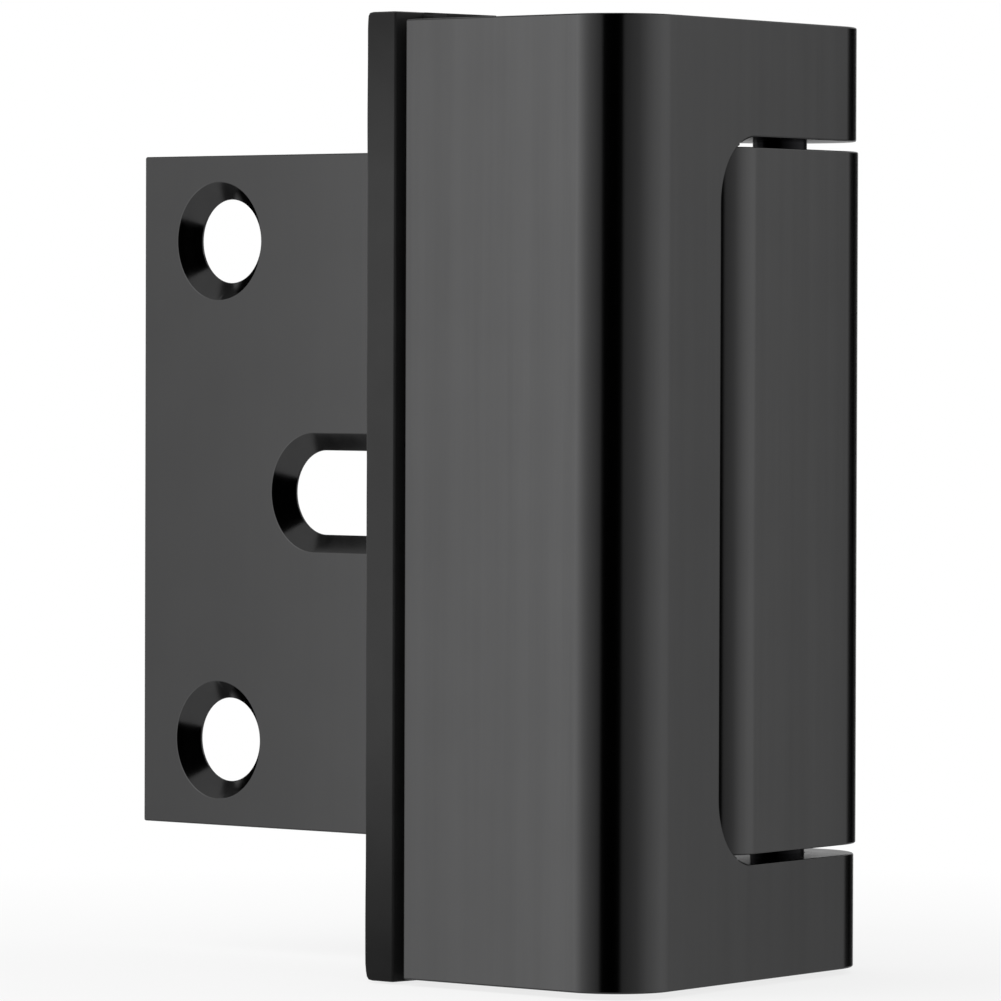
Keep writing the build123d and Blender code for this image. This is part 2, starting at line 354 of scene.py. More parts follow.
class NodeBoard:
    """Adds nodes to a shader tree and wires them up."""

    def __init__(self, tree: bpy.types.NodeTree) -> None:
        """Works on the node tree of a material, the world or a group."""
        self.tree = tree

    def add(
        self, kind: str, given: dict[str | int, object] | None = None, **settings: object
    ) -> bpy.types.Node:
        """Adds one node.

        Args:
            kind: Blender's name of the node type.
            given: What each input gets: a socket to be wired to it, or a constant.
            settings: The node's own settings.

        Returns:
            The new node.
        """
        node = self.tree.nodes.new(kind)
        for setting, value in settings.items():
            setattr(node, setting, value)
        for name, value in (given or {}).items():
            if isinstance(value, bpy.types.NodeSocket):
                self.tree.links.new(value, node.inputs[name])
            else:
                node.inputs[name].default_value = value
        return node

    def place(self) -> bpy.types.NodeSocket:
        """Where a point lies on the piece at rest."""
        return self.add("ShaderNodeTexCoord").outputs["Object"]

    def math(self, operation: str, *values: object) -> bpy.types.NodeSocket:
        """Result of a Math node on sockets or constants."""
        return self.add("ShaderNodeMath", dict(enumerate(values)), operation=operation).outputs[0]

    def weighted(self, first: object, second: object, share: float) -> bpy.types.NodeSocket:
        """Sum of two values, with that share of the second and the rest of the first."""
        rest = self.math("MULTIPLY", first, 1 - share)
        return self.math("ADD", rest, self.math("MULTIPLY", second, share))

    def remap(
        self, value: object, low: float, high: float, to_low: float = 0.0, to_high: float = 1.0
    ) -> bpy.types.NodeSocket:
        """Value moved from one range to another, and held inside it."""
        ends = {"From Min": low, "From Max": high, "To Min": to_low, "To Max": to_high}
        return self.add("ShaderNodeMapRange", {"Value": value, **ends}).outputs[0]

    def mix_colour(self, share: object, first: object, second: object) -> bpy.types.NodeSocket:
        """Mixes two colours.

        Args:
            share: The share of the second colour.
            first: The colour where the share is 0.
            second: The colour where it is 1.

        Returns:
            The mixed colour.
        """
        factor, colour_a, colour_b, result = 0, 6, 7, 2
        given = {factor: share, colour_a: first, colour_b: second}
        return self.add("ShaderNodeMix", given, data_type="RGBA").outputs[result]

    def noise(self, vector: object, scale: object, detail: float) -> bpy.types.NodeSocket:
        """Height of a noise texture, from 0 to 1."""
        given = {"Vector": vector, "Scale": scale, "Detail": detail}
        return self.add("ShaderNodeTexNoise", given).outputs[0]

    def effect(self, effect: "Effect", **given: object) -> bpy.types.NodeOutputs:
        """Outputs of an effect with its own values, named with underscores for spaces."""
        named = {name.replace("_", " ").title(): value for name, value in given.items()}
        return self.add("ShaderNodeGroup", named, node_tree=effect.tree()).outputs

    def sees_backdrop(self) -> bpy.types.NodeSocket:
        """Tells camera, glossy and transmission rays, which see a white backdrop, from the rest.

        Returns:
            1 for those rays, and 0 for the others.
        """
        rays = self.add("ShaderNodeLightPath").outputs
        seen = self.math("MAXIMUM", rays["Is Camera Ray"], rays["Is Glossy Ray"])
        return self.math("MAXIMUM", seen, rays["Is Transmission Ray"])


def new_material(
    name: str, wire: Callable[[NodeBoard], bpy.types.NodeSocket]
) -> bpy.types.Material:
    """Material with its own nodes.

    Args:
        name: Name of the material.
        wire: Wires its nodes on a board, and gives the socket of the surface.

    Returns:
        The material, which is made the first time that its name is asked for.
    """
    if name in bpy.data.materials:
        return bpy.data.materials[name]
    material = bpy.data.materials.new(name)
    material.use_nodes = True
    material.node_tree.nodes.clear()
    board = NodeBoard(material.node_tree)
    board.add("ShaderNodeOutputMaterial", {"Surface": wire(board)})
    return material


class Effect:
    """A surface effect that materials share, as one shader node group."""

    name: str = ""
    inputs: dict[str, object] = {}
    outputs: Sequence[str] = ()

    def tree(self) -> bpy.types.NodeTree:
        """The group, which is built the first time that it is asked for.

        Returns:
            The group's node tree.
        """
        if self.name in bpy.data.node_groups:
            return bpy.data.node_groups[self.name]
        tree = bpy.data.node_groups.new(self.name, "ShaderNodeTree")
        for name, value in self.inputs.items():
            kind = "NodeSocketVector" if isinstance(value, tuple) else "NodeSocketFloat"
            socket = tree.interface.new_socket(name, in_out="INPUT", socket_type=kind)
            socket.default_value = value
        for name in self.outputs:
            tree.interface.new_socket(name, in_out="OUTPUT", socket_type="NodeSocketFloat")
        board = NodeBoard(tree)
        given = board.add("NodeGroupInput").outputs
        board.add("NodeGroupOutput", self.wire(board, given))
        return tree

    def wire(self, board: NodeBoard, given: bpy.types.NodeOutputs) -> dict[str, object]:
        """Wires the inside of the group.

        Args:
            board: The board of the group's tree.
            given: The group's inputs, by name.

        Returns:
            The socket that feeds each output, by name.
        """
        raise NotImplementedError


class ToolLines(Effect):
    """Fine lines that a die or a lathe leaves, over a slower drift of tone."""

    name = "tool_lines"
    inputs = {"Stretch": (1.0, 1.0, 0.01), "Fine Scale": 6000.0, "Broad Scale": 700.0}
    outputs = ("Tone", "Height")
    fine_detail = 2.0
    broad_detail = 3.0
    broad_share = 0.65
    noise_range = (0.35, 0.65)

    def wire(self, board: NodeBoard, given: bpy.types.NodeOutputs) -> dict[str, object]:
        """Wires two layers of noise, drawn out along the lines.

        Args:
            board: The board of the group's tree.
            given: The group's inputs, by name.

        Returns:
            The tone of both layers, and the height of the fine one.
        """
        scaled = {0: board.place(), 1: given["Stretch"]}
        drawn_out = board.add("ShaderNodeVectorMath", scaled, operation="MULTIPLY").outputs[0]
        fine = board.noise(drawn_out, given["Fine Scale"], self.fine_detail)
        broad = board.noise(drawn_out, given["Broad Scale"], self.broad_detail)
        tone = board.weighted(fine, broad, self.broad_share)
        return {"Tone": board.remap(tone, *self.noise_range), "Height": fine}


class FineGrain(Effect):
    """Even fine grain of a moulded, blasted or blackened surface, with faint clouding."""

    name = "fine_grain"
    inputs = {"Grain Scale": 9000.0, "Cloud Scale": 160.0}
    outputs = ("Cloud", "Grain")
    grain_detail = 2.0
    cloud_detail = 4.0
    cloud_range = (0.3, 0.7)

    def wire(self, board: NodeBoard, given: bpy.types.NodeOutputs) -> dict[str, object]:
        """Wires one layer of noise for the grain and one for the clouds.

        Args:
            board: The board of the group's tree.
            given: The group's inputs, by name.

        Returns:
            The clouds, spread over their whole range, and the grain.
        """
        place = board.place()
        cloud = board.noise(place, given["Cloud Scale"], self.cloud_detail)
        grain = board.noise(place, given["Grain Scale"], self.grain_detail)
        return {"Cloud": board.remap(cloud, *self.cloud_range), "Grain": grain}


class EdgeRubAndSheen(Effect):
    """Where convex edges are worn in patches, and lightened along them as a painted highlight."""

    name = "edge_rub_and_sheen"
    inputs = {"Width": 0.0002, "Patch Scale": 260.0, "Strength": 1.0}
    outputs = ("Mask",)
    bevel_samples = 6
    edge_range = (0.995, 0.9)
    patch_detail = 4.0
    patch_range = (0.3, 0.6)
    least_rub_and_sheen = 0.35

    def wire(self, board: NodeBoard, given: bpy.types.NodeOutputs) -> dict[str, object]:
        """Wires a comparison of the face's normal with one that is rounded over the width.

        Args:
            board: The board of the group's tree.
            given: The group's inputs, by name.

        Returns:
            The mask of the worn edges, which also carries their painted highlight.
        """
        width = {"Radius": given["Width"]}
        rounded = board.add("ShaderNodeBevel", width, samples=self.bevel_samples).outputs[0]
        normals = {0: rounded, 1: board.add("ShaderNodeNewGeometry").outputs["Normal"]}
        agreement = board.add("ShaderNodeVectorMath", normals, operation="DOT_PRODUCT").outputs["Value"]
        edge = board.remap(agreement, *self.edge_range)
        noise = board.noise(board.place(), given["Patch Scale"], self.patch_detail)
        # painted highlight: the edge mask lightens the colour along convex edges, on top of patchy wear
        rub_and_sheen = board.math("MULTIPLY", edge, board.remap(noise, *self.patch_range, self.least_rub_and_sheen))
        return {"Mask": board.math("MULTIPLY", rub_and_sheen, given["Strength"])}


class PaintedStripReflection(Effect):
    """Painted reflection: a coat over the middle of the strip that fades out towards both ends, so that
    the ends go darker.
    """

    name = "painted_reflection"
    inputs = {"Middle Height": 0.004, "Clear Distance": 0.04, "Fade Distance": 0.022}
    outputs = ("Mask",)

    def wire(self, board: NodeBoard, given: bpy.types.NodeOutputs) -> dict[str, object]:
        """Wires a fade from the middle of the strip to the clear distance above and below it.

        Args:
            board: The board of the group's tree.
            given: The group's inputs, by name.

        Returns:
            The mask, which is 1 where the painted reflection is whole.
        """
        height = board.add("ShaderNodeSeparateXYZ", {0: board.place()}).outputs["Z"]
        distance = board.math("ABSOLUTE", board.math("SUBTRACT", height, given["Middle Height"]))
        return {"Mask": board.remap(distance, given["Clear Distance"], given["Fade Distance"])}


class Grain(Enum):
    """The way that tool lines run, as how much each axis of the noise is kept."""

    ALONG_Z = (1.0, 1.0, 0.012)
    ROUND_Z = (0.02, 0.02, 1.0)
    ROUND_Y = (0.02, 1.0, 0.02)


@dataclass(frozen=True)
class Finish:
    """A surface finish: its colours, its roughness, and the record's slot that it belongs to."""

    name: str
    slot: str
    dark: Colour
    light: Colour
    rubbed_and_lit: Colour
    smooth_roughness: float
    rough_roughness: float

    def material(self) -> bpy.types.Material:
        """The material of this finish."""
        return new_material(self.name, self.wire)

    def wire(self, board: NodeBoard) -> bpy.types.NodeSocket:
        """Wires the surface.

        Args:
            board: The board of the material's tree.

        Returns:
            The shader's output.
        """
        raise NotImplementedError

    def colour(self, board: NodeBoard, tone: object, rub_and_sheen: object) -> bpy.types.NodeSocket:
        """Colour from dark to light by the tone, and lighter where the edge mask says: wear with a painted
        highlight.
        """
        plain = board.mix_colour(tone, self.dark, self.light)
        # edges get the lighter colour: partly wear, partly a painted highlight
        return board.mix_colour(rub_and_sheen, plain, self.rubbed_and_lit)


@dataclass(frozen=True)
class MetalFinish(Finish):
    """A metal surface with tool lines, worn edges with a painted highlight, and a little clouding."""

    grain: Grain
    line_depth: float
    rub_and_sheen_width: float
    rub_and_sheen_strength: float
    cloud_share: float = 0.4
    grain_height: float = 0.3

    def wire(self, board: NodeBoard) -> bpy.types.NodeSocket:
        """Wires a metal whose tone, roughness and relief follow its tool lines.

        Args:
            board: The board of the material's tree.

        Returns:
            The shader's output.
        """
        lines = board.effect(ToolLines(), stretch=self.grain.value)
        grain = board.effect(FineGrain())
        # edge mask: patchy wear plus a painted highlight on convex edges
        rub_and_sheen = board.effect(EdgeRubAndSheen(), width=self.rub_and_sheen_width, strength=self.rub_and_sheen_strength)["Mask"]
        tone = board.weighted(lines["Tone"], grain["Cloud"], self.cloud_share)
        roughness = board.remap(lines["Tone"], 0.0, 1.0, self.rough_roughness, self.smooth_roughness)
        fine = board.math("MULTIPLY", grain["Grain"], self.grain_height)
        height = board.math("ADD", lines["Height"], fine)
        relief = {"Strength": 1.0, "Distance": self.line_depth, "Height": height}
        given = {
            "Base Color": self.colour(board, tone, rub_and_sheen),
            "Metallic": 1.0,
            "Roughness": roughness,
            "Normal": board.add("ShaderNodeBump", relief).outputs[0],
        }
        return board.add("ShaderNodeBsdfPrincipled", given).outputs[0]


@dataclass(frozen=True)
class PolymerFinish(Finish):
    """A moulded or extruded plastic with fine grain, worn edges with a painted highlight, and perhaps a
    painted reflection that fades towards both ends.
    """

    grain_depth: float
    sheen: float
    specular: float = 0.5
    painted_reflection_coat: float = 0.0
    coat_roughness: float = 0.4
    grain_scale: float = 5000.0
    cloud_scale: float = 220.0
    grain_range: tuple[float, float] = (0.3, 0.7)
    rub_and_sheen_width: float = 0.0003
    rub_and_sheen_strength: float = 0.6

    def wire(self, board: NodeBoard) -> bpy.types.NodeSocket:
        """Wires a plastic whose tone follows its clouds, and its roughness the grain.

        Args:
            board: The board of the material's tree.

        Returns:
            The shader's output.
        """
        grain = board.effect(FineGrain(), grain_scale=self.grain_scale, cloud_scale=self.cloud_scale)
        # edge mask: patchy wear plus a painted highlight on convex edges
        rub_and_sheen = board.effect(EdgeRubAndSheen(), width=self.rub_and_sheen_width, strength=self.rub_and_sheen_strength)["Mask"]
        ends = (*self.grain_range, self.smooth_roughness, self.rough_roughness)
        relief = {"Strength": 1.0, "Distance": self.grain_depth, "Height": grain["Grain"]}
        given = {
            "Base Color": self.colour(board, grain["Cloud"], rub_and_sheen),
            "Roughness": board.remap(grain["Grain"], *ends),
            "Specular IOR Level": self.specular,
            "Sheen Weight": self.sheen,
            "Normal": board.add("ShaderNodeBump", relief).outputs[0],
        }
        # painted reflection: a coat over the middle of the strip, fading out towards both ends
        if self.painted_reflection_coat:
            painted_reflection = board.effect(PaintedStripReflection())["Mask"]
            given["Coat Weight"] = board.math("MULTIPLY", painted_reflection, self.painted_reflection_coat)
            given["Coat Roughness"] = self.coat_roughness
        return board.add("ShaderNodeBsdfPrincipled", given).outputs[0]


# The lighter edge colour of each finish is partly wear and partly a painted highlight.
SATIN_BLACK = MetalFinish(
    name="satin_black_aluminium",
    slot="satin_black_metal",
    dark=(0.11, 0.11, 0.111, 1),
    light=(0.121, 0.121, 0.122, 1),
    rubbed_and_lit=(0.2, 0.2, 0.2, 1),
    smooth_roughness=0.15,
    rough_roughness=0.2,
    grain=Grain.ALONG_Z,
    line_depth=0.0000005,
    rub_and_sheen_width=0.00018,
    rub_and_sheen_strength=0.7,
)
# painted light: a lighter copy of the satin black, so that the leaf renders brighter than the stop under
# the same light
SATIN_BLACK_LIT_LEAF = replace(
    SATIN_BLACK,
    name="satin_black_aluminium_leaf",
    dark=(0.125, 0.125, 0.126, 1),
    light=(0.137, 0.137, 0.138, 1),
)
# painted shade: a darker copy of the blackened steel, so that the pin reads black in the shaded gaps at
# the knuckle's ends
SHADED_BLACKENED_STEEL_PIN = MetalFinish(
    name="blackened_steel_pin_painted_dark",
    slot="blackened_steel",
    dark=(0.02, 0.02, 0.022, 1),
    light=(0.035, 0.035, 0.038, 1),
    rubbed_and_lit=(0.22, 0.22, 0.23, 1),
    smooth_roughness=0.26,
    rough_roughness=0.38,
    grain=Grain.ROUND_Z,
    line_depth=0.000002,
    rub_and_sheen_width=0.00015,
    rub_and_sheen_strength=0.9,
)
BLACKENED_STEEL_SCREW = MetalFinish(
    name="blackened_steel_screw",
    slot="blackened_steel",
    dark=(0.045, 0.045, 0.05, 1),
    light=(0.075, 0.075, 0.08, 1),
    rubbed_and_lit=(0.24, 0.24, 0.25, 1),
    smooth_roughness=0.28,
    rough_roughness=0.4,
    grain=Grain.ROUND_Y,
    line_depth=0.000002,
    rub_and_sheen_width=0.00012,
    rub_and_sheen_strength=0.9,
)
SPRING_STEEL = MetalFinish(
    name="bright_spring_steel",
    slot="spring_steel",
    dark=(0.46, 0.45, 0.44, 1),
    light=(0.6, 0.6, 0.59, 1),
    rubbed_and_lit=(0.72, 0.72, 0.72, 1),
    smooth_roughness=0.22,
    rough_roughness=0.34,
    grain=Grain.ROUND_Y,
    line_depth=0.000001,
    rub_and_sheen_width=0.0001,
    rub_and_sheen_strength=0.6,
)
ACETAL = PolymerFinish(
    name="moulded_acetal",
    slot="acetal",
    dark=(0.66, 0.65, 0.6, 1),
    light=(0.74, 0.73, 0.68, 1),
    rubbed_and_lit=(0.78, 0.77, 0.73, 1),
    smooth_roughness=0.34,
    rough_roughness=0.44,
    grain_depth=0.000003,
    sheen=0.0,
)
BLACK_VINYL = PolymerFinish(
    name="soft_black_vinyl",
    slot="black_vinyl",
    dark=(0.011, 0.011, 0.011, 1),
    light=(0.016, 0.016, 0.016, 1),
    rubbed_and_lit=(0.03, 0.03, 0.03, 1),
    smooth_roughness=0.34,
    rough_roughness=0.46,
    grain_depth=0.000004,
    sheen=0.05,
    specular=0.06,
    # painted reflection in the middle of the strip, fading to darker ends
    painted_reflection_coat=0.88,
)


def fit(piece: bpy.types.Object, finish: Finish, body: str, node: str) -> bpy.types.Object:
    """Dresses a new piece, and puts it in the place of a node.

    Args:
        piece: The new piece, in its place.
        finish: The finish that it gets.
        body: The body that it moves with.
        node: The node that it stands for.

    Returns:
        The piece.
    """
    piece.data.materials.append(finish.material())
    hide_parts(node)
    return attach(piece, body)


class NodePart:
    """A part that stands for one node, and takes its outer size from that node's box."""

    node: str

    @cached_property
    def low(self) -> Vector:
        """Lowest corner of the node's box."""
        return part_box(self.node)[0]

    @cached_property
    def high(self) -> Vector:
        """Highest corner of the node's box."""
        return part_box(self.node)[1]


@dataclass(frozen=True)
class Pivot:
    """The hinge line, and the round end and outer face that both extrusions share there."""

    centre: Vector
    end_radius: float
    lean: float = radians(11)

    def round_end(self, tip_y: float) -> Corner:
        """Where the casing side and the outer face would meet if the end weren't round.

        Args:
            tip_y: The y that the round end reaches to.

        Returns:
            The sharp corner, with the radius that makes the end reach there.
        """
        past_pin_round = tip_y - self.centre.y - self.end_radius
        shift = past_pin_round / (cos(self.lean / 2) - sin(self.lean / 2))
        sharp_y = self.centre.y + self.end_radius / tan(self.lean / 2)
        return Corner(self.casing_x, sharp_y, self.end_radius - shift * sin(self.lean / 2))

    @property
    def casing_x(self) -> float:
        """Where the casing side of both extrusions lies."""
        return self.centre.x - self.end_radius

    def outer_x(self, y: float) -> float:
        """Where the leaning outer face is.

        Args:
            y: How far along the face.

        Returns:
            The x of the face there.
        """
        start_x = self.centre.x + self.end_radius * cos(self.lean)
        start_y = self.centre.y + self.end_radius * sin(self.lean)
        return start_x + (start_y - y) * tan(self.lean)


@dataclass
class HingeLeaf(NodePart):
    """Leaf and knuckle: one extrusion with countersunk holes and the bores for the pin."""

    pivot: Pivot
    node: str = "hinge_leaf"
    edge_radius: float = 0.0003
    root_radius: float = 0.0008
    corner_radius: float = 0.0033
    hole_radius: float = 0.0035
    countersink_radius: float = 0.00495
    hole_deburr: float = 0.00018
    hole_spacing: float = 0.0418
    slot_start: float = 0.0112
    slot_travel: float = 0.012
    pin_bore_radius: float = 0.00245
    cross_bore_radius: float = 0.0025
    cross_bore_height: float = 0.012
    bush_bore_radius: float = 0.0032
    bush_length: float = 0.008
    broken_edge: float = 0.00016
    inner_edge_share: float = 0.3

    @property
    def corner_centre(self) -> Vector:
        """Middle of the knuckle's rounded front corner."""
        y = self.low.y + self.corner_radius
        return Vector((self.pivot.outer_x(y) - self.corner_radius / cos(self.pivot.lean), y))

    @property
    def knuckle_reach(self) -> float:
        """How far the knuckle's front corner reaches from the pin."""
        return self.corner_radius + (self.corner_centre - self.pivot.centre.xy).length

    def outline(self) -> list[Vector]:
        """Outline of the extrusion, seen from above.

        Returns:
            Points all the way round, from the round end by the leaf's edge to the front corner.
        """
        return rounded_outline(
            [
                self.pivot.round_end(self.high.y),
                Corner(self.pivot.casing_x, 0, self.root_radius),
                Corner(self.low.x, 0, self.edge_radius),
                Corner(self.low.x, self.low.y, self.edge_radius),
                Corner(self.pivot.outer_x(self.low.y), self.low.y, self.corner_radius),
            ]
        )

    def screw_cutter(self, name: str, outline: Callable[[float], list[Vector]]) -> bpy.types.Object:
        """Cutter for a countersunk hole or slot.

        Args:
            name: Name of the cutter.
            outline: Gives the opening's outline for a given radius of its ends.

        Returns:
            The cutter, from in front of the leaf to behind it, where it takes off the burr.
        """
        front = -self.low.y
        hole = outline(self.hole_radius)
        sections = [
            (outline(self.countersink_radius + OVERCUT), front + OVERCUT),
            (hole, front - self.countersink_radius + self.hole_radius),
            (hole, self.hole_deburr),
            (outline(self.hole_radius + self.hole_deburr + OVERCUT), -OVERCUT),
        ]
        return loft(name, sections, Facing.FRONT)

    def screw_cutters(self) -> list[bpy.types.Object]:
        """Cutters for the slot and for the two round holes.

        Returns:
            The slot's cutter and then the holes'.
        """
        slot = partial(slot_outline, start=self.slot_start, travel=self.slot_travel)
        cutters = [self.screw_cutter("slot", slot)]
        for side in Side:
            hole = partial(circle, centre=(0, side.value * self.hole_spacing / 2))
            cutters.append(self.screw_cutter(f"hole_{side.name}", hole))
        return cutters

    def bore_cutters(self) -> list[bpy.types.Object]:
        """Cutters for the stepped pin bore and for the cross bores of the friction plugs.

        Returns:
            The pin bore's cutter and then the cross bores'.
        """
        wide = circle(self.bush_bore_radius, self.pivot.centre)
        narrow = circle(self.pin_bore_radius, self.pivot.centre)
        step = self.high.z - self.bush_length
        top = self.high.z + OVERCUT
        upper = [(narrow, step), (wide, step), (wide, top)]
        lower = [(outline, -height) for outline, height in reversed(upper)]
        cutters = [loft("pin_bore", lower + upper)]
        for side in Side:
            centre = (self.pivot.centre.x, side.value * self.cross_bore_height)
            bore = circle(self.cross_bore_radius, centre)
            ends = [(bore, -self.pivot.centre.y), (bore, OVERCUT - self.low.y)]
            cutters.append(loft(f"cross_bore_{side.name}", ends, Facing.FRONT))
        return cutters

    def edge_share(self, middle: Vector) -> float:
        """How much of the broken edge's width an edge gets: less at holes than at the ends.

        Args:
            middle: Middle point of the edge.

        Returns:
            The share.
        """
        at_end = abs(middle.z) > self.high.z - MERGE_DISTANCE
        return 1.0 if at_end else self.inner_edge_share

    def build(self) -> list[bpy.types.Object]:
        """Builds the extrusion with its holes and bores.

        Returns:
            The one piece.
        """
        outline = self.outline()
        piece = loft("leaf_extrusion", [(outline, self.low.z), (outline, self.high.z)])
        cut(piece, self.screw_cutters() + self.bore_cutters())
        break_edges(piece, self.broken_edge, self.edge_share)
        smooth(piece)
        # the leaf gets the lighter copy of the satin black, which is painted light
        return [fit(piece, SATIN_BLACK_LIT_LEAF, "leaf", self.node)]


@dataclass
class StopBody(NodePart):
    """The stop: a heavy extrusion, cut away between two ears for the knuckle."""

    pivot: Pivot
    leaf: HingeLeaf
    node: str = "stop_body"
    corner_radius: float = 0.0049
    edge_radius: float = 0.0002
    root_radius: float = 0.0015
    end_gap: float = 0.0008
    cutout_radius: float = 0.0054
    turning_clearance: float = 0.0002
    web_clearance: float = 0.0003
    relief_gap: float = 0.0003
    pin_seat_radius: float = 0.00222
    groove_mouth: float = 0.0034
    groove_width: float = 0.006
    groove_lip: float = 0.0012
    groove_depth: float = 0.0016
    strip_width: float = 0.0095
    broken_edge: float = 0.00016

    @property
    def web_y(self) -> float:
        """The face of the web, just outside the circle that the knuckle's corner turns in."""
        return self.pivot.centre.y - self.leaf.knuckle_reach - self.web_clearance

    @property
    def relief_radius(self) -> float:
        """Radius of the circle that the knuckle's corner turns in, with its clearance."""
        return self.leaf.knuckle_reach + self.turning_clearance

    @property
    def relief_height(self) -> float:
        """Half the height of that circle's cut."""
        return self.leaf.high.z + self.relief_gap

    def groove(self) -> list[Corner]:
        """Corners of the T groove in the door side.

        Returns:
            The corners from the web towards the front.
        """
        middle = self.low.y + self.strip_width / 2
        lip_x = self.low.x + self.groove_lip
        floor_x = lip_x + self.groove_depth
        half_mouth, half_width = self.groove_mouth / 2, self.groove_width / 2
        upper = [(self.low.x, half_mouth), (lip_x, half_mouth), (lip_x, half_width), (floor_x, half_width)]
        lower = [(x, -half) for x, half in reversed(upper)]
        return [Corner(x, middle + half) for x, half in upper + lower]

    def outline(self) -> list[Vector]:
        """Outline of the whole extrusion, seen from above.

        Returns:
            Points all the way round, from the round end by the door side to the near corner.
        """
        return rounded_outline(
            [
                self.pivot.round_end(self.high.y),
                Corner(self.pivot.casing_x, self.web_y, self.root_radius),
                Corner(self.low.x, self.web_y, self.edge_radius),
                *self.groove(),
                Corner(self.low.x, self.low.y, self.edge_radius),
                Corner(self.pivot.outer_x(self.low.y), self.low.y, self.corner_radius),
            ]
        )

    def cutters(self) -> list[bpy.types.Object]:
        """Cutters for the cut-out, the circle that the knuckle turns in, and the pin seats.

        Returns:
            The three cutters in that order.
        """
        half_height = self.leaf.high.z + self.end_gap
        far_y = self.high.y + OVERCUT
        window = rounded_outline(
            [
                Corner(self.web_y, -half_height, self.cutout_radius),
                Corner(far_y, -half_height),
                Corner(far_y, half_height),
                Corner(self.web_y, half_height, self.cutout_radius),
            ]
        )
        sides = [(window, self.low.x - OVERCUT), (window, self.high.x + OVERCUT)]
        relief = circle(self.relief_radius, self.pivot.centre, FINE_CIRCLE_STEPS)
        seat = circle(self.pin_seat_radius, self.pivot.centre)
        top = self.high.z + OVERCUT
        return [
            loft("cutout", sides, Facing.SIDE),
            loft("relief", [(relief, -self.relief_height), (relief, self.relief_height)]),
            loft("pin_seat", [(seat, -top), (seat, top)]),
        ]

    def edge_share(self, middle: Vector) -> float:
        """How much of the broken edge's width an edge gets: none on the hidden relief.

        Args:
            middle: Middle point of the edge.

        Returns:
            The share.
        """
        near_pin = (middle.xy - self.pivot.centre.xy).length < self.relief_radius + MERGE_DISTANCE
        low_enough = abs(middle.z) < self.relief_height + MERGE_DISTANCE
        return 0.0 if near_pin and low_enough else 1.0

    def surface_of(self, face: bmesh.types.BMFace) -> str | None:
        """Names the cut that a face of the stop belongs to.

        Args:
            face: The face.

        Returns:
            The cut's name, or None for a broken edge.
        """
        reaches = [(corner.co.xy - self.pivot.centre.xy).length for corner in face.verts]
        heights = [abs(corner.co.z) for corner in face.verts]
        on_wall = all(abs(reach - self.relief_radius) < SAME_PLACE for reach in reaches)
        on_end = all(abs(height - self.relief_height) < SAME_PLACE for height in heights)
        if on_end or on_wall and max(heights) < self.relief_height + SAME_PLACE:
            return "relief"
        if abs(face.normal.z) < SAME_NORMAL:
            return "extrusion"
        return "cutout" if abs(face.normal.x) < SAME_NORMAL else None

    def build(self) -> list[bpy.types.Object]:
        """Builds the extrusion with its cut-out and pin seats.

        Returns:
            The one piece.
        """
        outline = self.outline()
        piece = loft("stop_extrusion", [(outline, self.low.z), (outline, self.high.z)])
        cut(piece, self.cutters())
        break_edges(piece, self.broken_edge, self.edge_share)
        smooth(piece, self.surface_of)
        return [fit(piece, SATIN_BLACK, "stop", self.node)]


